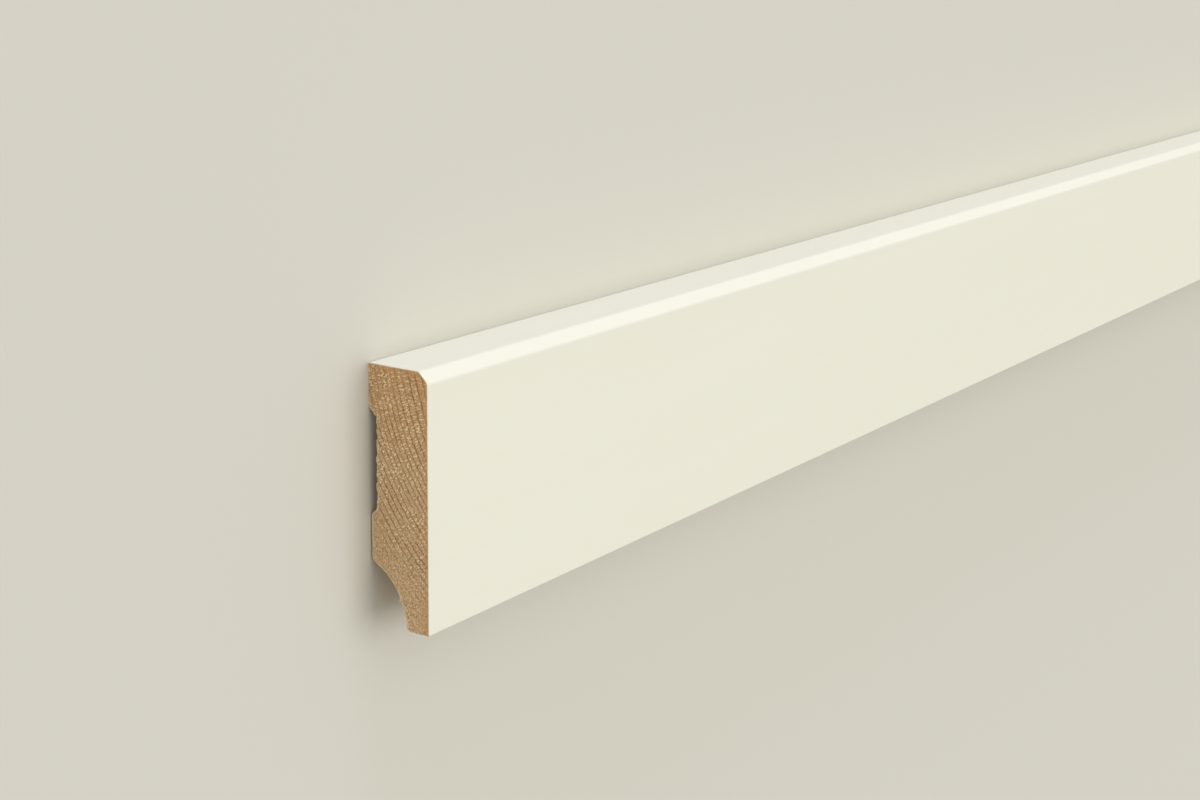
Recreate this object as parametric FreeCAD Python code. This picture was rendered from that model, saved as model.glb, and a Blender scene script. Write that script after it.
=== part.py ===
import FreeCAD, Part
import math
import os

# Skirting board length, one piece of softwood planed and milled along its whole length.
# It lies on its back. X runs along the board, +Y is the top edge of the mounted board, -Y its floor
# edge, and +Z is its front. The origin is at the middle of the board, on the surface it lies on.
# All sizes are in millimetres.

# Stock as it is sold
length = 2400.0
height = 58.0
thickness = 16.0

# Chamfer between the top edge and the front, with soft corners
chamfer_on_top = 2.3
chamfer_on_front = 2.3
chamfer_blend_radius = 1.2

# Back: a head pad and a foot pad bear on the wall, with a shallow relief milled between them
head_pad_height = 9.6
foot_pad_height = 10.3
foot_pad_setback = 0.4
relief_depth = 2.0
relief_shoulder_angle = 45.0
relief_cutter_radius = 0.5
head_shoulder_radius = 1.0
foot_shoulder_radius = 0.5

# Foot: a concave channel for a cable or pipe, which leaves a narrow strip to stand on the floor
channel_height = 14.2
channel_radius = 15.4
floor_strip_width = 6.2
channel_top_radius = 1.0
heel_radius = 1.0

# Arrises that the planer leaves
front_arris_radius = 0.3
back_arris_radius = 0.4


def section_point(up, depth):
    """Point of the section: up from the floor edge, depth in front of the back of the head pad."""
    return FreeCAD.Vector(-length / 2, up - height / 2, depth)


def channel_arc_middle(start, end):
    """Point halfway along the hollow arc of the channel, bulging into the wood."""
    middle = (start + end) / 2
    half_chord = (end - start).Length / 2
    chord = (end - start).normalize()
    into_wood = chord.cross(FreeCAD.Vector(1, 0, 0))
    to_centre = math.sqrt(channel_radius ** 2 - half_chord ** 2)
    return middle + into_wood * (channel_radius - to_centre)


def section_corners():
    """Corners of the section by name, before any edge is rounded."""
    shoulder_slope = math.tan(math.radians(relief_shoulder_angle))
    head_pad_foot = height - head_pad_height
    foot_pad_head = channel_height + foot_pad_height
    return {
        "channel_top": section_point(channel_height, foot_pad_setback),
        "heel": section_point(0, thickness - floor_strip_width),
        "front_floor": section_point(0, thickness),
        "chamfer_front": section_point(height - chamfer_on_front, thickness),
        "chamfer_top": section_point(height, thickness - chamfer_on_top),
        "back_top": section_point(height, 0),
        "head_shoulder": section_point(head_pad_foot, 0),
        "relief_head": section_point(head_pad_foot - relief_depth / shoulder_slope, relief_depth),
        "relief_foot": section_point(
            foot_pad_head + (relief_depth - foot_pad_setback) / shoulder_slope, relief_depth),
        "foot_shoulder": section_point(foot_pad_head, foot_pad_setback),
    }


def section_face(corners):
    """Sharp-edged section: the channel's arc, then straight runs round the rest of the outline."""
    points = list(corners.values())
    channel_top, heel = points[0], points[1]
    arc = Part.Arc(channel_top, channel_arc_middle(channel_top, heel), heel)
    edges = [arc.toShape()]
    for start, end in zip(points[1:], points[2:] + points[:1]):
        edges.append(Part.LineSegment(start, end).toShape())
    return Part.Face(Part.Wire(edges))


def long_edge(solid, corner):
    """The edge that runs along the board from a corner of its section, found by its middle point."""
    middle = FreeCAD.Vector(0, corner.y, corner.z)
    return min(solid.Edges, key=lambda edge: (edge.CenterOfMass - middle).Length)


def rounded(solid, corners, radii):
    """Round the long edges, each by its own radius."""
    for name, radius in radii.items():
        solid = solid.makeFillet(radius, [long_edge(solid, corners[name])])
    return solid


def skirting_board():
    corners = section_corners()
    board = section_face(corners).extrude(FreeCAD.Vector(length, 0, 0))
    return rounded(board, corners, {
        "chamfer_top": chamfer_blend_radius,
        "chamfer_front": chamfer_blend_radius,
        "head_shoulder": head_shoulder_radius,
        "relief_head": relief_cutter_radius,
        "relief_foot": relief_cutter_radius,
        "foot_shoulder": foot_shoulder_radius,
        "channel_top": channel_top_radius,
        "heel": heel_radius,
        "front_floor": front_arris_radius,
        "back_top": back_arris_radius,
    })


os.makedirs("parts", exist_ok=True)
board = skirting_board()
board.exportStep("parts/skirting_board.step")
print("skirting_board", "volume in cm3", round(board.Volume / 1000, 1), "valid", board.isValid())
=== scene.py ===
import math
from collections import namedtuple

import bpy
import numpy as np
from mathutils import Matrix, Vector

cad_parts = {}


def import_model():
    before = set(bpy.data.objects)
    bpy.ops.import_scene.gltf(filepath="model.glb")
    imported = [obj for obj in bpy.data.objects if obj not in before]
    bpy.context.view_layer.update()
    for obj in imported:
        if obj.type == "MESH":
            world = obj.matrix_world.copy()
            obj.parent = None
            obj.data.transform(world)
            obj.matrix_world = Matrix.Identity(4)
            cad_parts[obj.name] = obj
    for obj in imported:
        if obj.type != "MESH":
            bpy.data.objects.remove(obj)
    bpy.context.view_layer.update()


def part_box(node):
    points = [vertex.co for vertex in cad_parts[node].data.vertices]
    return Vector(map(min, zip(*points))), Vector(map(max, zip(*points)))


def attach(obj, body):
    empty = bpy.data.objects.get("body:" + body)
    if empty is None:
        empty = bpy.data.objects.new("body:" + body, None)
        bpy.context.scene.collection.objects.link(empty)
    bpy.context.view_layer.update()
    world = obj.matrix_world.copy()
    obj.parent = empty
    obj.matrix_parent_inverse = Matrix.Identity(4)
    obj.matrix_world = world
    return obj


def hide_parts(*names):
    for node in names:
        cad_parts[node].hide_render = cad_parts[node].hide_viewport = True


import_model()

# Millimetres are used for the wood and its section, metres for what Blender is given
MM = 0.001

# The board lies on its back. Up runs from its floor edge (-Y) to its top edge (+Y), depth from its
# back (the surface it lies on) to its front (+Z), and along runs from its near end (-X) to its far end.
low_corner, high_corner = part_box("skirting_board")
LENGTH = (high_corner.x - low_corner.x) / MM
HEIGHT = (high_corner.y - low_corner.y) / MM
THICKNESS = (high_corner.z - low_corner.z) / MM

# Milled section
CHAMFER = 2.3
CHAMFER_BLEND_RADIUS = 1.2
HEAD_PAD_HEIGHT = 9.6
FOOT_PAD_HEIGHT = 10.3
FOOT_PAD_SETBACK = 0.4
RELIEF_DEPTH = 2.0
RELIEF_CUTTER_RADIUS = 0.5
HEAD_SHOULDER_RADIUS = 1.0
FOOT_SHOULDER_RADIUS = 0.5
CHANNEL_HEIGHT = 14.2
CHANNEL_RADIUS = 15.4
CHANNEL_TOP_RADIUS = 1.0
FLOOR_STRIP_WIDTH = 6.2
HEEL_RADIUS = 1.0
FRONT_ARRIS_RADIUS = 0.3
BACK_ARRIS_RADIUS = 0.4

# Coat of paint on the front, chamfer and top, thinner where it runs out on the arrises
COAT_THICKNESS = 0.18
COAT_EDGE_THICKNESS = 0.03
COAT_RUN_OUT = 0.5

# How finely the meshes follow the section
ARC_STEP_DEGREES = 5.0
CHANNEL_STEP_DEGREES = 2.5
SUPPORT_DISTANCE = 0.15
LEAST_SUPPORTED_RUN = 6 * SUPPORT_DISTANCE
COAT_END_STEP = 0.2
NEAR_END_STEP = 0.17
FAR_END_STEP = 0.19
END_RING_DISTANCES = (0.35, 0.7, 1.3, 2.2, 3.5)
BODY_START = 6.0
BODY_SPACING = 120.0
SHARP_DEGREES = 40.0
SAME_PLACE = 1e-6
SAME_PLACE_DIGITS = 6

# Pith of the tree, in front of the board and above it, and a mean radius that turns an angle round the
# pith into millimetres
PITH_UP = 67.4
PITH_DEPTH = 64.8
MEAN_RADIUS = 67.0

# How the year rings follow each other: the radius where they are leanest and their width there, how
# slowly they widen away from it, the ring number at that radius, better and leaner years in turn, and
# waves round the pith as size, length and start
LEANEST_RADIUS = 68.6
LEANEST_RING = 1.31
RING_RANGE = 22.4
FIRST_RING = 11.68
GOOD_YEARS_SHARE = 0.2
GOOD_YEARS_LENGTH = 2.515
GOOD_YEARS_START = 1.1
RING_WAVES = ((0.10, 3.1, 1.3), (0.05, 0.9, 4.0))

# Year lines on the sawn ends: half their width as a share of a year, how far their full strength
# reaches, how strong a year and a stretch of it are as the least value and the most to add, how far
# from the pith the outer years fade and by how much in the relief, and how high above a slope that
# leans to the front their colour fades towards the upper back corner
LINE_HALF_WIDTH = 0.13
LINE_FULLNESS = 1.15
YEAR_STRENGTH = (0.60, 0.40)
STRETCH_STRENGTH = (0.65, 0.5)
STRETCH_LENGTH = 5.0
OUTER_YEARS = (74.0, 79.0)
OUTER_RELIEF_FADE = 0.7
FAINT_SLOPE = 1.2
FAINT_HEIGHTS = (38.0, 50.0)
FAINT_STRENGTH = 0.35

# Torn fibre bundles between the year lines on the sawn ends, in two layers. Pitches, half widths and
# the offset of the painted shade beside them are millimetres round the pith, the slant is millimetres a
# year, the middle round the pith is a share of the pitch, and the rest across a year are shares of the
# year. A pair is the least value and the most to add. The fullness says how far the full brightness reaches.
TUFT_PITCHES = (0.52, 0.64)
SECOND_TUFTS_SHIFT = 0.45
SECOND_TUFTS_SHARE = 0.8
TUFT_GAP_AT_LINE = 0.8
TUFT_MIDDLE_ROUND = (0.15, 0.7)
TUFT_MIDDLE_ACROSS = (0.30, 0.42)
TUFT_HALF_LENGTH = (0.15, 0.20)
TUFT_HALF_WIDTH = (0.12, 0.11)
TUFT_BRIGHTNESS = (-0.45, 1.7)
TUFT_SLANT = 1.1
TUFT_FULLNESS = 1.5
TUFT_SHADE_OFFSET = -0.24

# The outer years are torn less: how far from the pith that changes, and the share that is left. Then
# patches that are torn more or less: their size, and the least value and the most to add.
TORN_YEARS = (74.0, 81.0)
LEAST_TORN_SHARE = 0.25
TORN_PATCH_SIZE = (5.0, 4.0)
TORN_PATCHES = (0.5, 0.7)

# Relief of the sawn ends. A pit's size is millimetres round the pith and a share of a year, and its
# level is the noise from which it starts and the range over which it gets full depth. The shade share
# is how much of the shade beside each tuft joins the pits, as depth and as painted shade in the colour.
# The roughness has two layers, each with a size and a share.
TUFT_HEIGHT = 0.08
PIT_DEPTH = 0.10
PIT_SIZE = (0.28, 0.30)
PIT_LEVEL = (0.72, 0.25)
PITS_IN_TORN_WOOD = 1.3
LEAST_PIT_SHARE = 0.3
SHADE_DEPTH_SHARE = 0.55
ROUGHNESS_DEPTH = 0.03
ROUGHNESS_LAYERS = ((0.34, 0.6), (0.17, 0.4))
LINE_RIDGE = 0.04

# Pale fuzz along the back side of a sawn end, with less of it at the planed head pad
FUZZ_WIDTH = 0.42
FUZZ_PATCH_SIZE = 0.8
FUZZ_STRENGTH = 1.7
HEAD_PAD_FUZZ = 0.3

# Warmer, more orange band in the sawn wood beside the coat: how far it reaches, how unevenly, how
# strongly, and how much of the relief it fills
ORANGE_BAND_REACH = 0.50
ORANGE_BAND_PATCH_SIZE = 1.1
ORANGE_BAND_PATCHES = (0.6, 0.6)
ORANGE_BAND_STRENGTH = 1.2
ORANGE_BAND_FILLING = 0.7

# Chips that the saw broke out of the coat: depth, length and the noise from which they start
COAT_CHIP = 0.12
COAT_CHIP_SIZE = 0.5
COAT_CHIP_LEVEL = 0.35

# Ragged edge that the saw tore out of the back side: the height over which it fades, the sizes of its
# waves, ripples and notches, the noise at which they are level with the surface, and their reach
RELIEF_FADE = 2.0
CHANNEL_FADE = 1.5
TEAR_SIZES = (1.2, 0.40, 0.8)
TEAR_LEVELS = (0.55, 0.50, 0.7)
RELIEF_TEAR_REACHES = (0.36, 0.36, 0.8)
CHANNEL_RIPPLE_REACH = 0.22

# Splinters that stand out of the back side at a sawn end: height, reach, and how far they run out
# above and below it
SPLINTERS = (
    (13.4, 0.30, 0.5, 0.6),
    (6.3, 0.55, 1.2, 0.15),
)
SPLINTER_POINT = 1.3

# Seeds of the random figure, so that the two ends differ
NEAR_WOOD_SEED, FAR_WOOD_SEED = 5, 57
NEAR_COAT_SEED, FAR_COAT_SEED = 7, 8

# Fields that a sawn end gives its material, the materials of the faces, and the parts of the maps
FIELD_NAMES = ("tuft", "pit_and_tuft_shade", "orange_band", "fuzz")
END_GRAIN, PLANED = 0, 1
COAT = 0
NEAR_END_MAP, FAR_END_MAP, BARE_MAP, HIDDEN_MAP = 0, 1, 2, 3
COAT_OUT_MAP, COAT_IN_MAP, COAT_EDGE_MAP, COAT_RIM_MAP_NEAR, COAT_RIM_MAP_FAR = 0, 1, 2, 3, 4
MAP_MARGIN = 0.01

# Colours from 0 to 255. A layer is a strength and the colour that it lays over what is below it, in
# this order. The sawn end is in shade, so its colours are written lighter than they render.
END_WOOD = ((210, 171, 124), (218, 185, 146))
END_LAYERS = {
    "early": (0.35, (216, 178, 129)),
    "warm": (1.0, (203, 145, 74)),
    "dark grain": (1.0, (151, 113, 70)),
    "pale grain": (1.0, (230, 208, 169)),
    "line": (0.90, (142, 91, 45)),
    "speck": (0.45, (116, 81, 43)),
    "tuft": (1.0, (255, 232, 190)),
    # Dark pits, and painted shade beside each tuft
    "pit_and_tuft_shade": (0.65, (124, 83, 43)),
    "orange_band": (0.75, (204, 147, 91)),
    "fuzz": (0.90, (225, 206, 173)),
}
PLANED_WOOD = ((208, 176, 128), (221, 191, 145))
PLANED_LAYERS = {
    "early": (0.25, (214, 178, 126)),
    "late": (0.55, (172, 124, 72)),
    "fibre": (0.30, (186, 146, 96)),
    "duct": (0.35, (140, 98, 56)),
}
PAINT = ((231, 228, 209), (234, 231, 213))
PAINT_LAYERS = {
    "stroke": (0.12, (226, 221, 198)),
}

# Sizes of the figure in the materials: along, up and depth. The grain and fibre of a sawn end go round
# the pith, away from it and along, and the strength of a year goes by years, then round the pith.
END_PATCH_SIZE = (30.0, 9.0, 6.0)
END_SPECK_SIZE = (0.6, 0.24, 0.24)
END_GRAIN_SIZE = (0.36, 0.25, 0.6)
END_FIBRE_SIZE = (0.17, 0.24, 0.3)
YEAR_STRENGTH_SIZE = (0.6, 4.0, 1.0)
PLANED_FIBRE_SIZE = (38.0, 0.35, 0.35)
PLANED_STREAK_SIZE = (160.0, 2.2, 2.2)
RESIN_DUCT_SIZE = (9.0, 0.16, 0.16)
PAINT_CLOUD_SIZE = (220.0, 30.0, 30.0)
PAINT_STROKE_SIZE = (60.0, 0.7, 0.7)
PAINT_PEEL_SIZE = (2.4, 1.3, 1.3)

# Spans over which the figure in the materials comes in or changes: low and high, and what they give
# where that isn't 0 and 1. The first three are heights on a sawn end, and the next two shares of a year.
WARM_SPAN = (34.0, 56.0, 0.0, 0.58)
TORN_SPAN = (18.0, 34.0, 0.65, 1.0)
CALM_SPAN = (16.0, 26.0, 1.0, 0.70)
END_EARLY_SPAN = (0.25, 0.80)
PLANED_EARLY_SPAN = (0.2, 0.9)
YEAR_STRENGTH_SPAN = (0.36, 0.60, 0.50, 1.0)
DARK_GRAIN_SPAN = (0.34, 0.50, 1.0, 0.0)
PALE_GRAIN_SPAN = (0.50, 0.64)
END_SPECK_SPAN = (0.68, 0.76)
END_FIBRE_SPAN = (0.40, 0.56, 0.42, 1.0)
TUFT_SPAN = (0.48, 0.90)
PLANED_FIBRE_SPAN = (0.4, 0.75)
PLANED_ROUGHNESS_SPAN = (0.3, 0.7, 0.55, 0.7)
RESIN_DUCT_SPAN = (0.70, 0.78)
PAINT_STROKE_SPAN = (0.5, 0.8)
PAINT_ROUGHNESS_SPAN = (0.3, 0.7, 0.36, 0.44)

# Half the width of a year line in the materials, as a share of a year, and how much the grain of a
# sawn end adds to its tufts
END_LINE_HALF_WIDTH = 1.5 * LINE_HALF_WIDTH
PLANED_LINE_HALF_WIDTH = 0.3
GRAIN_IN_TUFTS = 0.7

# Pith that wanders along the board: its noise, its reach, and how far from an end it starts to
PITH_WANDER_SIZE = (420.0, 90.0, 90.0)
PITH_WANDER_REACH = 7.0
PITH_WANDER_START = 150.0

# Studio. A lamp has the direction towards it, strength, softness in degrees and colour.
FLOOR_SIZE = 60.0
FLOOR_COLOUR = (211, 208, 194)
BACKGROUND_COLOUR = (214, 211, 197)
SKY_BASE = 0.23
SKY_SLOPE = (0.08, 0.20, 0.68)
SKY_LEAST = 0.04
LAMPS = {
    "key": ((0.22, 0.06, 0.97), 0.97, 40.0, (1.0, 1.0, 1.0)),
    "side": ((0.05, 0.99, 0.10), 1.13, 12.0, (0.92, 0.97, 1.30)),
    "near": ((-1.0, 0.0, 0.06), 0.45, 12.0, (1.0, 1.0, 1.0)),
}

# Camera, as the photograph's perspective gives it
CAMERA_PLACE = Vector((-1.5143, 0.1275, 0.2713))
CAMERA_LOOK = Vector((0.8027, -0.2489, -0.5419))
CAMERA_UP = Vector((0.1977, 0.9684, -0.1520))
CAMERA_LENS = 60.36
SENSOR_WIDTH = 36.0
CAMERA_CLIP_START = 0.01


# Section outline

def arc_between(centre, start, end, step_degrees=ARC_STEP_DEGREES):
    """Points (up, depth) of the arc from start to end about centre, both ends included."""
    first, last = np.subtract(start, centre), np.subtract(end, centre)
    cosine = np.dot(first, last) / np.linalg.norm(first) / np.linalg.norm(last)
    sweep = math.acos(min(1.0, max(-1.0, cosine)))
    steps = max(2, math.ceil(math.degrees(sweep) / step_degrees))
    share = np.linspace(0.0, 1.0, steps + 1)[:, None]
    return centre + (np.sin((1 - share) * sweep) * first + np.sin(share * sweep) * last) / math.sin(sweep)


def rounded_corner(before, corner, after, radius):
    """Arc that rounds the corner between two straight runs."""
    back = np.subtract(before, corner) / np.linalg.norm(np.subtract(before, corner))
    on = np.subtract(after, corner) / np.linalg.norm(np.subtract(after, corner))
    half_angle = math.acos(np.dot(back, on)) / 2
    reach = radius / math.tan(half_angle)
    middle = (back + on) / np.linalg.norm(back + on)
    centre = corner + middle * radius / math.sin(half_angle)
    return arc_between(centre, corner + back * reach, corner + on * reach)


def channel_centre():
    """Centre of the channel's arc, outside the wood."""
    top = np.array((CHANNEL_HEIGHT, FOOT_PAD_SETBACK))
    heel = np.array((0.0, THICKNESS - FLOOR_STRIP_WIDTH))
    chord = heel - top
    half_chord = np.linalg.norm(chord) / 2
    out_of_wood = np.array((-chord[1], chord[0])) / (2 * half_chord)
    return (top + heel) / 2 + out_of_wood * math.sqrt(CHANNEL_RADIUS ** 2 - half_chord ** 2)


def channel_stretch():
    """Heel, channel and the channel's rounded top, from the floor strip up to the foot pad."""
    centre = channel_centre()
    heel_centre = np.array((HEEL_RADIUS, 0.0))
    heel_reach = (CHANNEL_RADIUS + HEEL_RADIUS) ** 2 - (HEEL_RADIUS - centre[0]) ** 2
    heel_centre[1] = centre[1] + math.sqrt(heel_reach)
    top_centre = np.array((0.0, FOOT_PAD_SETBACK + CHANNEL_TOP_RADIUS))
    top_reach = (CHANNEL_RADIUS + CHANNEL_TOP_RADIUS) ** 2 - (top_centre[1] - centre[1]) ** 2
    top_centre[0] = centre[0] + math.sqrt(top_reach)
    heel_touch = centre + (heel_centre - centre) * CHANNEL_RADIUS / (CHANNEL_RADIUS + HEEL_RADIUS)
    top_touch = centre + (top_centre - centre) * CHANNEL_RADIUS / (CHANNEL_RADIUS + CHANNEL_TOP_RADIUS)
    heel = arc_between(heel_centre, (0.0, heel_centre[1]), heel_touch)
    hollow = arc_between(centre, heel_touch, top_touch, CHANNEL_STEP_DEGREES)
    top = arc_between(top_centre, top_touch, (top_centre[0], FOOT_PAD_SETBACK))
    return np.concatenate((heel, hollow[1:-1], top))


def with_supports(points):
    """The same chain with a point close to each end of every straight run, to keep its shading flat."""
    out = [points[0]]
    for start, end in zip(points[:-1], points[1:]):
        run = np.linalg.norm(end - start)
        if run > LEAST_SUPPORTED_RUN:
            share = SUPPORT_DISTANCE / run
            out += [start + (end - start) * share, end - (end - start) * share]
        out.append(end)
    return np.array(out)


def back_chain():
    """Bare back of the board, from the heel up to the arris of the top edge."""
    pad_foot = HEIGHT - HEAD_PAD_HEIGHT
    foot_pad_head = CHANNEL_HEIGHT + FOOT_PAD_HEIGHT
    relief_foot = (foot_pad_head + RELIEF_DEPTH - FOOT_PAD_SETBACK, RELIEF_DEPTH)
    relief_head = (pad_foot - RELIEF_DEPTH, RELIEF_DEPTH)
    foot_shoulder = (foot_pad_head, FOOT_PAD_SETBACK)
    head_shoulder = (pad_foot, 0.0)
    return with_supports(np.concatenate((
        channel_stretch(),
        rounded_corner((CHANNEL_HEIGHT, FOOT_PAD_SETBACK), foot_shoulder, relief_foot, FOOT_SHOULDER_RADIUS),
        rounded_corner(foot_shoulder, relief_foot, relief_head, RELIEF_CUTTER_RADIUS),
        rounded_corner(relief_foot, relief_head, head_shoulder, RELIEF_CUTTER_RADIUS),
        rounded_corner(relief_head, head_shoulder, (HEIGHT, 0.0), HEAD_SHOULDER_RADIUS),
        [(HEIGHT - BACK_ARRIS_RADIUS - COAT_EDGE_THICKNESS, 0.0)],
    )))


def coat_outside():
    """Outside of the coat, from the floor edge's arris over front, chamfer and top to the back's arris."""
    front_floor = (0.0, THICKNESS)
    chamfer_front = (HEIGHT - CHAMFER, THICKNESS)
    chamfer_top = (HEIGHT, THICKNESS - CHAMFER)
    back_top = (HEIGHT, 0.0)
    return with_supports(np.concatenate((
        rounded_corner((0.0, THICKNESS / 2), front_floor, chamfer_front, FRONT_ARRIS_RADIUS),
        rounded_corner(front_floor, chamfer_front, chamfer_top, CHAMFER_BLEND_RADIUS),
        rounded_corner(chamfer_front, chamfer_top, back_top, CHAMFER_BLEND_RADIUS),
        rounded_corner(chamfer_top, back_top, (HEIGHT / 2, 0.0), BACK_ARRIS_RADIUS),
    )))


def held(values):
    """The values, held between 0 and 1."""
    return np.clip(values, 0.0, 1.0)


def chain_lengths(points):
    """Distance along the chain to each of its points."""
    return np.concatenate(((0.0,), np.cumsum(np.linalg.norm(np.diff(points, axis=0), axis=1))))


def coat_inside(outside):
    """Where the coat meets the wood, point for point inside the coat's outside."""
    steps = np.diff(outside, axis=0)
    steps /= np.linalg.norm(steps, axis=1)[:, None]
    ways = np.concatenate((steps[:1], steps[:-1] + steps[1:], steps[-1:]))
    ways /= np.linalg.norm(ways, axis=1)[:, None]
    outward = np.stack((-ways[:, 1], ways[:, 0]), axis=1)
    run = chain_lengths(outside)
    share = held(np.minimum(run, run[-1] - run) / COAT_RUN_OUT)
    thickness = COAT_EDGE_THICKNESS + (COAT_THICKNESS - COAT_EDGE_THICKNESS) * share
    return outside - outward * thickness[:, None]


def wood_chains():
    """Back side and front side of the wood, each from the floor edge up to the underside of the coat."""
    inside = coat_inside(coat_outside())
    top = inside[:, 0].max()
    level = np.flatnonzero(inside[:, 0] > top - SAME_PLACE)
    front = np.concatenate(([(0.0, THICKNESS - FRONT_ARRIS_RADIUS)], inside[:level[0] + 1]))
    back = np.concatenate((back_chain(), inside[level[-1]:][::-1]))
    front[-1, 0] = back[-1, 0] = top
    return back, front


def filled(values, step):
    """The sorted values with more between them, so that no gap is wider than step."""
    out = [values[:1]]
    for low, high in zip(values[:-1], values[1:]):
        count = max(1, math.ceil((high - low) / step - SAME_PLACE))
        out.append(np.linspace(low, high, count + 1)[1:])
    return np.concatenate(out)


def found_in(values, chosen):
    """For each value, whether it is one of the chosen ones."""
    return np.isin(values.round(SAME_PLACE_DIGITS), chosen.round(SAME_PLACE_DIGITS))


# Noise and wood figure, in millimetres

def hashed(column, row, seed):
    """A fixed random number from 0 to 1 for each whole column and row."""
    mask = 0xFFFFFFFF
    column, row = column.astype(np.int64), row.astype(np.int64)
    mixed = (column * 374761393 + row * 668265263 + seed * 1442695041) & mask
    mixed = ((mixed ^ (mixed >> 13)) * 1274126177) & mask
    mixed = ((mixed ^ (mixed >> 16)) * 668265263) & mask
    return ((mixed ^ (mixed >> 15)) & 0xFFFF) / 0xFFFF


def smooth_noise(across, upward, seed):
    """Soft random field from 0 to 1 with features one unit wide."""
    column, row = np.floor(across), np.floor(upward)
    u, v = across - column, upward - row
    u, v = u * u * (3 - 2 * u), v * v * (3 - 2 * v)
    lower = hashed(column, row, seed) * (1 - u) + hashed(column + 1, row, seed) * u
    upper = hashed(column, row + 1, seed) * (1 - u) + hashed(column + 1, row + 1, seed) * u
    return lower * (1 - v) + upper * v


def line_noise(along_line, seed):
    """Soft random values from 0 to 1 along a line, with features one unit long."""
    return smooth_noise(along_line, along_line * 0, seed)


def part_of(pair, share):
    """A pair's least value with a share of the most to add."""
    return pair[0] + pair[1] * share


def ring_place(up, depth):
    """Ring number at a point of the section, and the distance round the pith in millimetres."""
    upward, forward = PITH_UP - up, PITH_DEPTH - depth
    round_pith = np.arctan2(upward, forward) * MEAN_RADIUS
    radius = np.hypot(upward, forward)
    for size, length, start in RING_WAVES:
        radius = radius + size * np.sin(round_pith / length + start)
    number = FIRST_RING + RING_RANGE / LEANEST_RING * np.sin((radius - LEANEST_RADIUS) / RING_RANGE)
    number = number + GOOD_YEARS_SHARE * np.sin((radius - GOOD_YEARS_START) / GOOD_YEARS_LENGTH)
    return number, round_pith


# Below, each field adds a number of its own to the seed of its end, so that no two fields are alike

def tufts(number, round_pith, pitch, seed):
    """Bright torn fibre bundles, from 0 to 1: short dashes across each year, one above the other."""
    year = np.floor(number)
    across = number - year
    cell = np.floor(round_pith / pitch)
    best = np.zeros_like(number)
    for shift in (-1, 0, 1):
        spot = cell + shift
        draw = [hashed(spot, year, seed + k) for k in range(6)]
        middle_round = (spot + part_of(TUFT_MIDDLE_ROUND, draw[0])) * pitch
        middle_across = part_of(TUFT_MIDDLE_ACROSS, draw[1])
        half_length = part_of(TUFT_HALF_LENGTH, draw[2])
        half_width = part_of(TUFT_HALF_WIDTH, draw[3])
        bright = held(part_of(TUFT_BRIGHTNESS, draw[4]))
        slant = TUFT_SLANT * (draw[5] - 0.5)
        off_across = (across - middle_across) / half_length
        off_round = (round_pith - middle_round - slant * (across - middle_across)) / half_width
        body = held(TUFT_FULLNESS - off_across ** 2 - off_round ** 2)
        best = np.maximum(best, bright * body)
    return best


def year_lines(number, round_pith, radius, seed):
    """Dark late wood at the end of each year, from 0 to 1, stronger in some years than in others."""
    year = np.round(number)
    away = np.abs(number - year) / LINE_HALF_WIDTH
    strength = part_of(YEAR_STRENGTH, hashed(year, year * 0, seed + 41))
    stretch = smooth_noise(round_pith / STRETCH_LENGTH, year, seed + 42)
    strength = strength * part_of(STRETCH_STRENGTH, stretch)
    outer = held((radius - OUTER_YEARS[0]) / (OUTER_YEARS[1] - OUTER_YEARS[0]))
    return held(LINE_FULLNESS - away ** 2) * strength * (1 - OUTER_RELIEF_FADE * outer)


def end_figure(up, depth, seed):
    """Relief of a sawn end in millimetres into the wood, and its tufts and its pits with painted shade
    beside the tufts, from 0 to 1.
    """
    number, round_pith = ring_place(up, depth)
    radius = np.hypot(PITH_UP - up, PITH_DEPTH - depth)
    line = year_lines(number, round_pith, radius, seed)
    torn = (TORN_YEARS[1] - radius) / (TORN_YEARS[1] - TORN_YEARS[0])
    torn = np.clip(torn, LEAST_TORN_SHARE, 1.0)
    patches = smooth_noise(up / TORN_PATCH_SIZE[0], depth / TORN_PATCH_SIZE[1], seed + 11)
    patches = held(part_of(TORN_PATCHES, patches))
    first = tufts(number, round_pith, TUFT_PITCHES[0], seed)
    second = tufts(number + SECOND_TUFTS_SHIFT, round_pith, TUFT_PITCHES[1], seed + 71)
    tuft = np.maximum(first, SECOND_TUFTS_SHARE * second)
    tuft = tuft * torn * patches * (1 - TUFT_GAP_AT_LINE * line)
    # Painted shade: the first tufts moved round the pith, dark where each tuft's shadow would fall. It joins
    # the pits, so it darkens the colour and deepens the relief there.
    shade = tufts(number, round_pith + TUFT_SHADE_OFFSET, TUFT_PITCHES[0], seed) * torn * (1 - tuft)
    pit_and_tuft_shade = smooth_noise(round_pith / PIT_SIZE[0], number / PIT_SIZE[1], seed + 23)
    pit_and_tuft_shade = held((pit_and_tuft_shade - PIT_LEVEL[0]) / PIT_LEVEL[1])
    pit_and_tuft_shade = pit_and_tuft_shade * np.clip(torn * PITS_IN_TORN_WOOD, LEAST_PIT_SHARE, 1.0)
    pit_and_tuft_shade = np.maximum(pit_and_tuft_shade, SHADE_DEPTH_SHARE * shade)
    rough = sum(share * smooth_noise(up / size, depth / size, seed + 21 + k)
                for k, (size, share) in enumerate(ROUGHNESS_LAYERS))
    relief = TUFT_HEIGHT * (1 - tuft) + PIT_DEPTH * pit_and_tuft_shade + ROUGHNESS_DEPTH * rough - LINE_RIDGE * line
    return np.maximum(relief, 0.0), tuft, pit_and_tuft_shade


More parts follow.
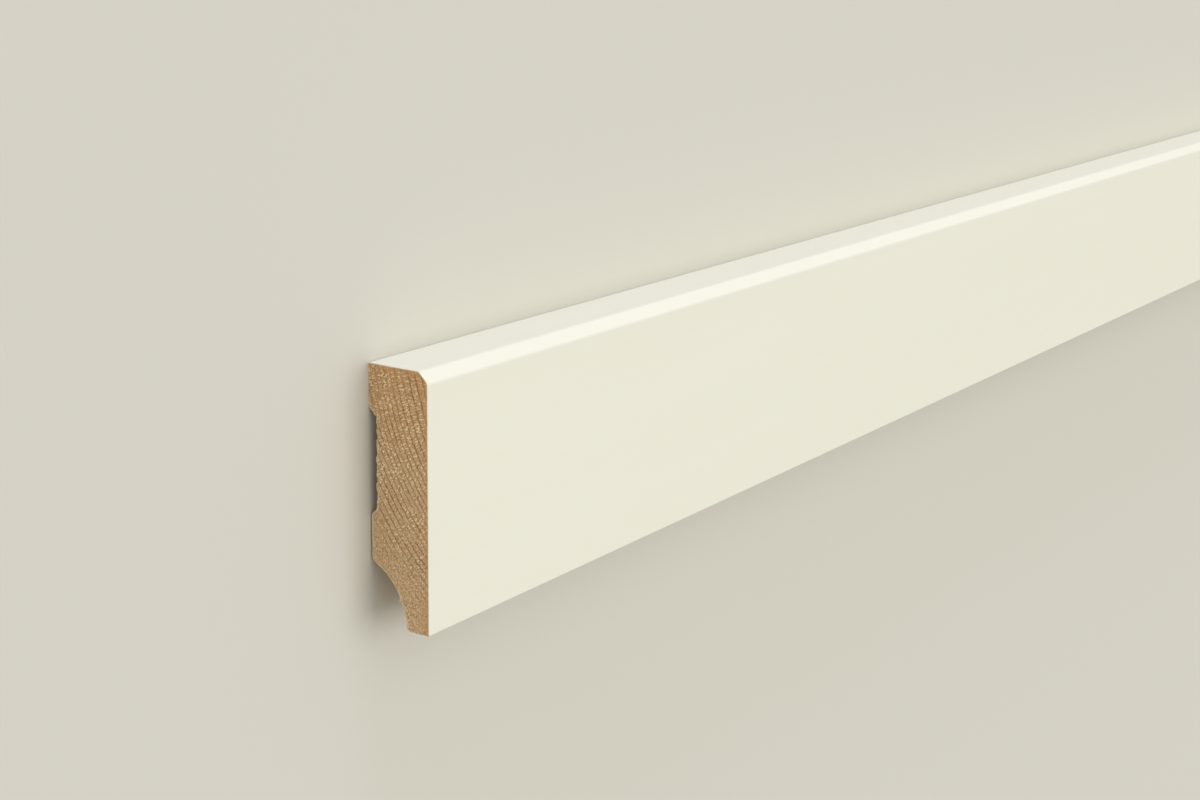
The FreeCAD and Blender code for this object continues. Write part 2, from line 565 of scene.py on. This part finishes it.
def torn_edge(up, seed):
    """How far the torn edge of a sawn end stands out of the back side, in millimetres, by height."""
    relief_foot, relief_head = CHANNEL_HEIGHT + FOOT_PAD_HEIGHT, HEIGHT - HEAD_PAD_HEIGHT
    in_relief = held((up - relief_foot) / RELIEF_FADE) * held((relief_head - up) / RELIEF_FADE)
    in_channel = held(up / CHANNEL_FADE) * held((CHANNEL_HEIGHT - up) / CHANNEL_FADE)
    wave, ripple, notch = [line_noise(up / size, seed + 31 + k) - level
                           for k, (size, level) in enumerate(zip(TEAR_SIZES, TEAR_LEVELS))]
    shapes = (wave, ripple, -held(notch))
    in_relief = in_relief * sum(reach * shape for reach, shape in zip(RELIEF_TEAR_REACHES, shapes))
    torn = in_relief + in_channel * (CHANNEL_RIPPLE_REACH * ripple)
    for place, reach, above, below in SPLINTERS:
        slope = np.where(up > place, (up - place) / above, (place - up) / below)
        torn = torn + reach * held(1 - slope) ** SPLINTER_POINT
    return torn


# Mesh building

# Ring of points that ends the fine part of a piece, which of them the plain part keeps, and the
# material and map part of each stretch of the ring
EndRing = namedtuple("EndRing", "points kept finish")


class MeshParts:
    """Points and faces of one piece while it is built.

    Each point has its place in metres, its section place (up, depth) and its run round the section in
    millimetres, and the figure fields of the sawn ends. Each face has a material and a part of the map.
    """

    def __init__(self):
        self.places, self.sections, self.runs, self.fields = [], [], [], []
        self.faces, self.materials, self.map_parts = [], [], []
        self.count = 0

    def add_points(self, near_distances, sections, runs, fields=None):
        """Adds points at distances from the near end and returns their numbers."""
        total = len(sections)
        along = (np.broadcast_to(near_distances, total) - LENGTH / 2) * MM
        upward = (sections[:, 0] - HEIGHT / 2) * MM
        self.places.append(np.stack((along, upward, sections[:, 1] * MM), axis=1))
        self.sections.append(sections)
        self.runs.append(runs)
        self.fields.append(np.zeros((total, len(FIELD_NAMES))) if fields is None else fields)
        self.count += total
        return np.arange(self.count - total, self.count)

    def add_faces(self, faces, material, map_part):
        """Adds faces, each a list of point numbers, that share a material and a part of the map."""
        self.faces += faces
        self.materials += [material] * len(faces)
        self.map_parts += [map_part] * len(faces)

    def add_strip(self, ring, next_ring, finish, turned=False):
        """Quads between two closed rings of as many points, the second further along unless turned."""
        first, second = (next_ring, ring) if turned else (ring, next_ring)
        quads = np.stack((first, np.roll(first, -1), np.roll(second, -1), second), axis=1)
        for quad, (material, map_part) in zip(quads.tolist(), finish):
            self.add_faces([quad], material, map_part)

    def add_joint(self, fine, coarse, turned):
        """Faces from a fine ring to a coarse one, whose points are the kept ones of the fine ring."""
        total = len(fine.points)
        for k, start in enumerate(fine.kept):
            end = fine.kept[k + 1] if k + 1 < len(fine.kept) else fine.kept[0] + total
            stretch = [int(fine.points[i % total]) for i in range(start, end + 1)]
            face = stretch + [int(coarse[(k + 1) % len(coarse)]), int(coarse[k])]
            self.add_faces([face[::-1] if turned else face], *fine.finish[start])

    def add_body(self, sections, runs, near, far):
        """The plain length of a piece between the end rings of its two finely made ends."""
        finish = [near.finish[k] for k in near.kept]
        stations = filled(np.array((BODY_START, LENGTH - BODY_START)), BODY_SPACING)
        rings = [self.add_points(place, sections, runs) for place in stations]
        self.add_joint(near, rings[0], False)
        for ring, next_ring in zip(rings[:-1], rings[1:]):
            self.add_strip(ring, next_ring, finish)
        self.add_joint(far, rings[-1], True)

    def piece(self, name, materials, map_places):
        """The finished mesh object, with its fields, its map and its materials."""
        mesh = bpy.data.meshes.new(name)
        mesh.from_pydata(np.concatenate(self.places).tolist(), [], self.faces)
        fields = np.concatenate(self.fields)
        for k, field in enumerate(FIELD_NAMES):
            attribute = mesh.attributes.new(field, "FLOAT", "POINT")
            attribute.data.foreach_set("value", fields[:, k].astype(np.float32))
        mesh.polygons.foreach_set("material_index", self.materials)
        mesh.polygons.foreach_set("use_smooth", [True] * len(self.faces))
        corners = self.map_corners(mesh, map_places)
        mesh.uv_layers.new(name="OFBake").data.foreach_set("uv", corners.ravel())
        mesh.set_sharp_from_angle(angle=math.radians(SHARP_DEGREES))
        for material in materials:
            mesh.materials.append(material)
        mesh.update()
        piece = bpy.data.objects.new(name, mesh)
        bpy.context.scene.collection.objects.link(piece)
        return piece

    def map_corners(self, mesh, map_places):
        """Map place of each face corner, from the part of the map that its face is on."""
        corners = np.zeros(len(mesh.loops), int)
        mesh.loops.foreach_get("vertex_index", corners)
        sizes = np.array([len(face) for face in self.faces])
        parts = np.repeat(np.array(self.map_parts), sizes)
        along = np.concatenate(self.places)[corners, 0] / (LENGTH * MM) + 0.5
        sections = np.concatenate(self.sections)[corners]
        runs = np.concatenate(self.runs)[corners]
        out = np.zeros((len(corners), 2))
        for part, place in map_places.items():
            chosen = parts == part
            out[chosen] = place(along[chosen], sections[chosen], runs[chosen])
        return out


# Layout of the maps

# Each share goes from 0 to 1, and is worked out from the place of a face corner along the board, its
# section place (up, depth) and its run round the section

def along_share(along, section, run):
    return along


def up_share(along, section, run):
    return section[:, 0] / HEIGHT


def depth_share(along, section, run):
    return section[:, 1] / THICKNESS


def diagonal_share(along, section, run):
    return section.sum(axis=1) / (HEIGHT + THICKNESS)


def coat_depth_share(along, section, run):
    inwards = np.minimum(THICKNESS - section[:, 1], HEIGHT - section[:, 0])
    return np.minimum(inwards / (2 * COAT_THICKNESS), 1.0)


def run_share(low, high):
    """The share for a run between two values."""
    return lambda along, section, run: (run - low) / (high - low)


def map_band(across, upward, start, end):
    """Lays faces out in a band of the map, across it by one share and from start to end by the other."""
    def place(*where):
        whole_width = MAP_MARGIN + across(*where) * (1 - 2 * MAP_MARGIN)
        return np.stack((whole_width, start + upward(*where) * (end - start)), axis=1)
    return place


# Timber

class SawnEnd:
    """Grid of one sawn end: a row for each height, with points from the back side to the front side.

    Its rim runs up the back side, over the top, down the front side and back along the floor edge.
    """

    def __init__(self, back, front, step, far, seed):
        self.back, self.front, self.far, self.seed = back, front, far, seed
        heights = np.concatenate((back[:, 0], front[:, 0])).round(SAME_PLACE_DIGITS)
        self.rows = filled(np.unique(heights), step)
        self.share = np.linspace(0.0, 1.0, math.ceil(THICKNESS / step) + 1)
        self.shape = (len(self.rows), len(self.share))
        self.back_depth = np.interp(self.rows, *back.T)
        self.front_depth = np.interp(self.rows, *front.T)
        self.bare = self.rows < HEIGHT - BACK_ARRIS_RADIUS - COAT_EDGE_THICKNESS
        self.torn = np.where(self.bare, torn_edge(self.rows, seed), 0.0)

    def from_near(self, distance):
        """Distance from the near end of the board, for a distance from this end."""
        return LENGTH - distance if self.far else distance

    def by_row(self, values):
        """A value for each row, repeated for each of its points."""
        return np.repeat(values, self.shape[1])

    def sections(self, tear):
        """Section places of the grid, with its torn edge standing out by a share of its reach."""
        start = (self.back_depth - self.torn * tear)[:, None]
        depth = start * (1 - self.share) + self.front_depth[:, None] * self.share
        return np.stack((np.broadcast_to(self.rows[:, None], depth.shape), depth), axis=2).reshape(-1, 2)

    def runs(self, grid):
        """Run round the section: up the back side, and below zero across the floor edge."""
        runs = self.by_row(np.interp(self.rows, self.back[:, 0], chain_lengths(self.back)))
        return np.where(grid[:, 0] < SAME_PLACE, self.back_depth[0] - grid[:, 1], runs)

    def surface(self, grid):
        """Relief of the sawn surface in millimetres into the wood, and its fields from 0 to 1."""
        up, depth = grid.T
        relief, tuft, pit_and_tuft_shade = end_figure(up, depth, self.seed)
        to_coat = np.minimum(self.rows[-1] - up, self.by_row(self.front_depth) - depth)
        # Warmer, more orange band in the wood along the coat, fading away from it
        band_level = line_noise(grid.sum(axis=1) / ORANGE_BAND_PATCH_SIZE, self.seed + 35)
        band_level = part_of(ORANGE_BAND_PATCHES, band_level) * ORANGE_BAND_STRENGTH
        orange_band = held(band_level * np.exp(-np.maximum(to_coat, 0.0) / ORANGE_BAND_REACH))
        from_back = (depth - self.by_row(self.back_depth - self.torn)) / FUZZ_WIDTH
        milled = self.by_row(np.where(self.rows < HEIGHT - HEAD_PAD_HEIGHT, 1.0, HEAD_PAD_FUZZ))
        patchy = held(FUZZ_STRENGTH * line_noise(up / FUZZ_PATCH_SIZE, self.seed + 34))
        fuzz = np.exp(-from_back ** 2) * milled * patchy
        return relief * (1 - ORANGE_BAND_FILLING * orange_band), np.stack((tuft, pit_and_tuft_shade, orange_band, fuzz), axis=1)

    def rim(self):
        """Points of the rim as places in the grid, which of them the plain board keeps, and the
        finish of each stretch between them."""
        rows, columns = self.shape
        table = np.arange(rows * columns).reshape(rows, columns)
        points = np.concatenate((table[:, 0], table[-1, 1:], table[-2::-1, -1], table[0, -2:0:-1]))
        top = np.zeros(columns - 1, bool)
        top[-1] = True
        floor_edge = np.zeros(columns - 2, bool)
        up_back = found_in(self.rows, self.back[:, 0])
        down_front = found_in(self.rows, self.front[:, 0])[-2::-1]
        kept = np.flatnonzero(np.concatenate((up_back, top, down_front, floor_edge)))
        coated = np.zeros(columns + rows - 3, bool)
        bare = np.concatenate((self.bare, coated, np.ones(columns - 1, bool)))
        return points, kept, [(PLANED, BARE_MAP if open_wood else HIDDEN_MAP) for open_wood in bare]

    def add_to(self, parts):
        """Adds the end and the rings that lead from it into the plain board. Returns the last ring, and
        the section places and runs of the points that the plain board keeps."""
        grid = self.sections(1.0)
        runs = self.runs(grid)
        relief, fields = self.surface(grid)
        points = parts.add_points(self.from_near(relief), grid, runs, fields)
        table = points.reshape(self.shape)
        quads = np.stack((table[:-1, :-1], table[:-1, 1:], table[1:, 1:], table[1:, :-1]), axis=2)
        quads = quads.reshape(-1, 4)[:, ::-1 if self.far else 1]
        parts.add_faces(quads.tolist(), END_GRAIN, FAR_END_MAP if self.far else NEAR_END_MAP)
        rim, kept, finish = self.rim()
        ring = points[rim]
        for distance in END_RING_DISTANCES:
            tear = (1 - distance / END_RING_DISTANCES[-1]) ** 2
            next_ring = parts.add_points(self.from_near(distance), self.sections(tear)[rim], runs[rim])
            parts.add_strip(ring, next_ring, finish, self.far)
            ring = next_ring
        return EndRing(ring, kept, finish), self.sections(0.0)[rim][kept], runs[rim][kept]


def timber():
    """The whole board of wood with both sawn ends."""
    parts = MeshParts()
    back, front = wood_chains()
    near, sections, runs = SawnEnd(back, front, NEAR_END_STEP, False, NEAR_WOOD_SEED).add_to(parts)
    far, _, _ = SawnEnd(back, front, FAR_END_STEP, True, FAR_WOOD_SEED).add_to(parts)
    parts.add_body(sections, runs, near, far)
    whole_back = run_share(-FLOOR_STRIP_WIDTH, chain_lengths(back)[-1])
    map_places = {
        NEAR_END_MAP: map_band(up_share, depth_share, 0.01, 0.22),
        FAR_END_MAP: map_band(up_share, depth_share, 0.24, 0.39),
        BARE_MAP: map_band(along_share, whole_back, 0.41, 0.95),
        HIDDEN_MAP: map_band(along_share, diagonal_share, 0.965, 0.99),
    }
    return parts.piece("timber", (end_grain_material(), planed_wood_material()), map_places)


# Coating

def coat_end(parts, outside, inside, far, seed):
    """Adds one end of the coat, slightly chipped by the saw, and returns its last ring."""
    run = chain_lengths(outside)
    fine_run = filled(run, COAT_END_STEP)
    outer = np.stack([np.interp(fine_run, run, outside[:, k]) for k in (0, 1)], axis=1)
    inner = np.stack([np.interp(fine_run, run, inside[:, k]) for k in (0, 1)], axis=1)
    sections = np.concatenate((outer[::-1], inner))
    runs = np.concatenate((fine_run[::-1], fine_run))
    in_run = found_in(fine_run, run)
    kept = np.flatnonzero(np.concatenate((in_run[::-1], in_run)))
    total = len(fine_run)
    finish = [(COAT, COAT_OUT_MAP)] * (total - 1) + [(COAT, COAT_EDGE_MAP)]
    finish += [(COAT, COAT_IN_MAP)] * (total - 1) + [(COAT, COAT_EDGE_MAP)]
    chips = COAT_CHIP * held(line_noise(runs / COAT_CHIP_SIZE, seed) - COAT_CHIP_LEVEL)
    first, second = chips, END_RING_DISTANCES[0]
    if far:
        first, second = LENGTH - first, LENGTH - second
    rim = parts.add_points(first, sections, runs)
    over, under = rim[:total][::-1], rim[total:]
    cap = np.stack((over[:-1], over[1:], under[1:], under[:-1]), axis=1)
    cap = cap[:, ::-1 if far else 1]
    parts.add_faces(cap.tolist(), COAT, COAT_RIM_MAP_FAR if far else COAT_RIM_MAP_NEAR)
    ring = parts.add_points(second, sections, runs)
    parts.add_strip(rim, ring, finish, far)
    return EndRing(ring, kept, finish)


def coating():
    """The coat of paint over front, chamfer and top, and round the arrises that end it."""
    parts = MeshParts()
    outside = coat_outside()
    inside = coat_inside(outside)
    near = coat_end(parts, outside, inside, False, NEAR_COAT_SEED)
    far = coat_end(parts, outside, inside, True, FAR_COAT_SEED)
    run = chain_lengths(outside)
    parts.add_body(np.concatenate((outside[::-1], inside)), np.concatenate((run[::-1], run)), near, far)
    whole_coat = run_share(0.0, run[-1])
    map_places = {
        COAT_OUT_MAP: map_band(along_share, whole_coat, 0.01, 0.87),
        COAT_IN_MAP: map_band(along_share, whole_coat, 0.88, 0.90),
        COAT_EDGE_MAP: map_band(along_share, diagonal_share, 0.91, 0.93),
        COAT_RIM_MAP_NEAR: map_band(whole_coat, coat_depth_share, 0.94, 0.96),
        COAT_RIM_MAP_FAR: map_band(whole_coat, coat_depth_share, 0.97, 0.99),
    }
    return parts.piece("coating", (coat_material(),), map_places)


# Materials

def linear(red, green, blue):
    """Blender's linear colour for a screen colour from 0 to 255."""
    def one(level):
        share = level / 255
        return share / 12.92 if share <= 0.04045 else ((share + 0.055) / 1.055) ** 2.4
    return (one(red), one(green), one(blue), 1.0)


class Nodes:
    """Short calls that add nodes to a tree and return their outputs."""

    def __init__(self, tree):
        self.tree = tree

    def give(self, socket, value):
        """Links an output to the socket, or writes a plain value on it."""
        if isinstance(value, bpy.types.NodeSocket):
            self.tree.links.new(value, socket)
        else:
            socket.default_value = value

    def add(self, kind, *values):
        """A new node with values for its first inputs."""
        node = self.tree.nodes.new(kind)
        for socket, value in zip(node.inputs, values):
            self.give(socket, value)
        return node

    def math(self, operation, *values):
        node = self.add("ShaderNodeMath", *values)
        node.operation = operation
        return node.outputs[0]

    def times(self, first, second):
        return self.math("MULTIPLY", first, second)

    def place(self):
        """Place on the board in millimetres: along, up and depth, each a number."""
        coordinates = self.add("ShaderNodeTexCoord")
        split = self.add("ShaderNodeSeparateXYZ", coordinates.outputs["Object"])
        along = self.math("DIVIDE", split.outputs[0], MM)
        up = self.math("MULTIPLY_ADD", split.outputs[1], 1 / MM, HEIGHT / 2)
        depth = self.math("DIVIDE", split.outputs[2], MM)
        return along, up, depth

    def noise(self, place, size, detail=2.0, roughness=0.5):
        """Noise from 0 to 1 whose features have that size in millimetres each way."""
        scaled = [self.math("DIVIDE", axis, length) for axis, length in zip(place, size)]
        node = self.add("ShaderNodeTexNoise")
        self.give(node.inputs["Vector"], self.add("ShaderNodeCombineXYZ", *scaled).outputs[0])
        node.inputs["Scale"].default_value = 1.0
        node.inputs["Detail"].default_value = detail
        node.inputs["Roughness"].default_value = roughness
        return node.outputs["Fac"]

    def field(self, name):
        node = self.add("ShaderNodeAttribute")
        node.attribute_name = name
        return node.outputs["Fac"]

    def spread(self, value, low, high, to_low=0.0, to_high=1.0, smooth=False):
        """Maps low to high onto another span, held at its ends."""
        node = self.add("ShaderNodeMapRange", value, low, high, to_low, to_high)
        node.interpolation_type = "SMOOTHSTEP" if smooth else "LINEAR"
        return node.outputs[0]

    def mix(self, share, first, second):
        node = self.add("ShaderNodeMix", share)
        node.data_type = "RGBA"
        self.give(node.inputs[6], first)
        self.give(node.inputs[7], second)
        return node.outputs[2]

    def layered(self, pair, share, layers, shares):
        """A mix of a pair of written colours, with written layers over it, each by its own share."""
        colour = self.mix(share, linear(*pair[0]), linear(*pair[1]))
        for name, (strength, written) in layers.items():
            colour = self.mix(self.times(shares[name], strength), colour, linear(*written))
        return colour

    def bump(self, height, distance, strength):
        node = self.add("ShaderNodeBump")
        node.inputs["Strength"].default_value = strength
        node.inputs["Distance"].default_value = distance
        self.give(node.inputs["Height"], height)
        return node.outputs["Normal"]

    def surface(self, colour, roughness, specular, normal=None):
        """Ends a material's nodes with its shader."""
        shader = self.add("ShaderNodeBsdfPrincipled")
        self.give(shader.inputs["Base Color"], colour)
        self.give(shader.inputs["Roughness"], roughness)
        self.give(shader.inputs["Specular IOR Level"], specular)
        if normal is not None:
            self.give(shader.inputs["Normal"], normal)
        output = self.add("ShaderNodeOutputMaterial")
        self.give(output.inputs["Surface"], shader.outputs["BSDF"])


def new_material(name):
    """A new material, and the calls that add nodes to it."""
    material = bpy.data.materials.new(name)
    material.use_nodes = True
    material.node_tree.nodes.clear()
    return material, Nodes(material.node_tree)


def ring_nodes(nodes, place, wander):
    """Ring number of the wood at a place, worked out as in ring_place, and the distances round the pith
    and from it in millimetres. The wander is added to the distance from the pith."""
    _, up, depth = place
    upward = nodes.math("SUBTRACT", PITH_UP, up)
    forward = nodes.math("SUBTRACT", PITH_DEPTH, depth)
    round_pith = nodes.times(nodes.math("ARCTAN2", upward, forward), MEAN_RADIUS)
    squares = nodes.math("ADD", nodes.math("POWER", upward, 2.0), nodes.math("POWER", forward, 2.0))
    radius = nodes.math("ADD", nodes.math("SQRT", squares), wander)
    waved = radius
    for size, length, start in RING_WAVES:
        turn = nodes.math("MULTIPLY_ADD", round_pith, 1 / length, start)
        waved = nodes.math("MULTIPLY_ADD", nodes.math("SINE", turn), size, waved)
    lean = nodes.math("DIVIDE", nodes.math("SUBTRACT", waved, LEANEST_RADIUS), RING_RANGE)
    number = nodes.math("MULTIPLY_ADD", nodes.math("SINE", lean), RING_RANGE / LEANEST_RING, FIRST_RING)
    good = nodes.math("DIVIDE", nodes.math("SUBTRACT", waved, GOOD_YEARS_START), GOOD_YEARS_LENGTH)
    number = nodes.math("MULTIPLY_ADD", nodes.math("SINE", good), GOOD_YEARS_SHARE, number)
    return number, round_pith, radius


def line_nodes(nodes, number, half_width):
    """Dark line of late wood where the ring number is whole, from 0 to 1."""
    away = nodes.math("ABSOLUTE", nodes.math("SUBTRACT", number, nodes.math("ROUND", number)))
    return nodes.spread(away, half_width, 0.0, smooth=True)


def year_strength(nodes, place, number, round_pith, radius):
    """How strong a year's line is on a sawn end: it changes from year to year and along the ring, and
    it fades in the outer years and towards the upper back corner."""
    ring = (nodes.math("ROUND", number), round_pith, 0.0)
    strength = nodes.spread(nodes.noise(ring, YEAR_STRENGTH_SIZE, detail=1.0), *YEAR_STRENGTH_SPAN)
    outer = nodes.spread(radius, *OUTER_YEARS, 1.0, FAINT_STRENGTH)
    above = nodes.math("MULTIPLY_ADD", place[2], -FAINT_SLOPE, place[1])
    faint = nodes.spread(above, *FAINT_HEIGHTS, 1.0, FAINT_STRENGTH)
    return nodes.times(nodes.times(strength, outer), faint)


def end_grain_material():
    """Sawn end of softwood: dark year lines, bright torn fibres between them, dark pits and painted shade
    beside the fibres.
    """
    material, nodes = new_material("end_grain")
    place = nodes.place()
    along, up, _ = place
    number, round_pith, radius = ring_nodes(nodes, place, 0.0)
    ring_way = (round_pith, radius, along)
    line = line_nodes(nodes, number, END_LINE_HALF_WIDTH)
    grain = nodes.noise(ring_way, END_GRAIN_SIZE, roughness=0.6)
    calm = nodes.spread(up, *CALM_SPAN, smooth=True)
    torn = nodes.times(nodes.field("tuft"), nodes.spread(up, *TORN_SPAN))
    tuft = nodes.spread(nodes.math("MULTIPLY_ADD", grain, GRAIN_IN_TUFTS, torn), *TUFT_SPAN)
    fibre = nodes.noise(ring_way, END_FIBRE_SIZE, detail=1.0)
    shares = {
        "early": nodes.spread(nodes.math("FRACT", number), *END_EARLY_SPAN, smooth=True),
        "warm": nodes.spread(up, *WARM_SPAN),
        "dark grain": nodes.times(nodes.spread(grain, *DARK_GRAIN_SPAN), calm),
        "pale grain": nodes.times(nodes.spread(grain, *PALE_GRAIN_SPAN), calm),
        "line": nodes.times(line, year_strength(nodes, place, number, round_pith, radius)),
        "speck": nodes.spread(nodes.noise(place, END_SPECK_SIZE, detail=1.0), *END_SPECK_SPAN),
        "tuft": nodes.times(tuft, nodes.spread(fibre, *END_FIBRE_SPAN)),
        # The pit field also carries the painted shade beside each tuft
        "pit_and_tuft_shade": nodes.field("pit_and_tuft_shade"),
        "orange_band": nodes.field("orange_band"),
        "fuzz": nodes.field("fuzz"),
    }
    colour = nodes.layered(END_WOOD, nodes.noise(place, END_PATCH_SIZE), END_LAYERS, shares)
    normal = nodes.bump(grain, distance=0.00006, strength=0.6)
    nodes.surface(colour, roughness=0.85, specular=0.2, normal=normal)
    return material


def planed_wood_material():
    """Planed and milled softwood, with year rings drawn out into long grain lines."""
    material, nodes = new_material("planed_wood")
    place = nodes.place()
    from_end = nodes.math("SUBTRACT", LENGTH / 2, nodes.math("ABSOLUTE", place[0]))
    settled = nodes.spread(from_end, 0.0, PITH_WANDER_START, smooth=True)
    drift = nodes.math("SUBTRACT", nodes.noise(place, PITH_WANDER_SIZE), 0.5)
    wander = nodes.times(nodes.times(drift, PITH_WANDER_REACH), settled)
    number, _, _ = ring_nodes(nodes, place, wander)
    late = line_nodes(nodes, number, PLANED_LINE_HALF_WIDTH)
    fibre = nodes.noise(place, PLANED_FIBRE_SIZE, detail=3.0, roughness=0.6)
    shares = {
        "early": nodes.spread(nodes.math("FRACT", number), *PLANED_EARLY_SPAN),
        "late": late,
        "fibre": nodes.spread(fibre, *PLANED_FIBRE_SPAN),
        "duct": nodes.spread(nodes.noise(place, RESIN_DUCT_SIZE, detail=1.0), *RESIN_DUCT_SPAN),
    }
    colour = nodes.layered(PLANED_WOOD, nodes.noise(place, PLANED_STREAK_SIZE), PLANED_LAYERS, shares)
    height = nodes.math("SUBTRACT", nodes.times(late, 0.5), fibre)
    normal = nodes.bump(height, distance=0.00005, strength=0.5)
    nodes.surface(colour, nodes.spread(fibre, *PLANED_ROUGHNESS_SPAN), specular=0.3, normal=normal)
    return material


def coat_material():
    """Satin off-white paint with a faint texture along the board."""
    material, nodes = new_material("satin_coat")
    place = nodes.place()
    stroke = nodes.noise(place, PAINT_STROKE_SIZE, detail=3.0)
    peel = nodes.noise(place, PAINT_PEEL_SIZE)
    shares = {"stroke": nodes.spread(stroke, *PAINT_STROKE_SPAN)}
    colour = nodes.layered(PAINT, nodes.noise(place, PAINT_CLOUD_SIZE), PAINT_LAYERS, shares)
    height = nodes.math("ADD", nodes.times(peel, 0.6), nodes.times(stroke, 0.4))
    normal = nodes.bump(height, distance=0.00004, strength=0.35)
    nodes.surface(colour, nodes.spread(stroke, *PAINT_ROUGHNESS_SPAN), specular=0.22, normal=normal)
    return material


# Stage

def floor():
    """Large plain pale floor that the board lies on."""
    half = FLOOR_SIZE / 2
    mesh = bpy.data.meshes.new("floor")
    corners = [(-half, -half, 0), (half, -half, 0), (half, half, 0), (-half, half, 0)]
    mesh.from_pydata(corners, [], [(0, 1, 2, 3)])
    material, nodes = new_material("floor_paint")
    nodes.surface(linear(*FLOOR_COLOUR), roughness=0.9, specular=0.1)
    mesh.materials.append(material)
    plane = bpy.data.objects.new("floor", mesh)
    bpy.context.scene.collection.objects.link(plane)
    return plane


def sun_light(name, direction, strength, softness_degrees, colour):
    """Light from one side of the sky; direction points from the board towards it."""
    light = bpy.data.lights.new(name, "SUN")
    light.energy = strength
    light.angle = math.radians(softness_degrees)
    light.color = colour
    lamp = bpy.data.objects.new(name, light)
    bpy.context.scene.collection.objects.link(lamp)
    lamp.rotation_euler = Vector(direction).to_track_quat("Z", "Y").to_euler()


def world():
    """Soft sky that is brighter overhead and behind the top edge, seen by the camera as one pale tone."""
    sky = bpy.data.worlds.new("pale_studio")
    sky.use_nodes = True
    nodes = Nodes(sky.node_tree)
    direction = nodes.add("ShaderNodeTexCoord").outputs["Generated"]
    slope = nodes.add("ShaderNodeVectorMath", direction, SKY_SLOPE)
    slope.operation = "DOT_PRODUCT"
    level = nodes.math("MAXIMUM", nodes.math("ADD", slope.outputs["Value"], SKY_BASE), SKY_LEAST)
    rays = nodes.add("ShaderNodeLightPath")
    seen = nodes.math("MAXIMUM", rays.outputs["Is Camera Ray"], rays.outputs["Is Glossy Ray"])
    tone = nodes.mix(seen, level, linear(*BACKGROUND_COLOUR))
    nodes.give(sky.node_tree.nodes["Background"].inputs["Color"], tone)
    bpy.context.scene.world = sky


def camera():
    """Camera with the photograph's view of the near end and the front."""
    data = bpy.data.cameras.new("camera")
    data.sensor_fit = "HORIZONTAL"
    data.sensor_width = SENSOR_WIDTH
    data.lens = CAMERA_LENS
    data.clip_start = CAMERA_CLIP_START
    view = bpy.data.objects.new("camera", data)
    bpy.context.scene.collection.objects.link(view)
    right = CAMERA_LOOK.cross(CAMERA_UP).normalized()
    up = right.cross(CAMERA_LOOK).normalized()
    turn = Matrix((right, up, -CAMERA_LOOK.normalized())).transposed()
    view.matrix_world = Matrix.Translation(CAMERA_PLACE) @ turn.to_4x4()
    bpy.context.scene.camera = view


# The scene

camera()
world()
for name, lamp in LAMPS.items():
    sun_light(name, *lamp)
floor()

board = timber()
skin = coating()
for piece in (board, skin):
    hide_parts("skirting_board")
    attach(piece, "root")

bpy.context.scene.view_settings.view_transform = "Standard"
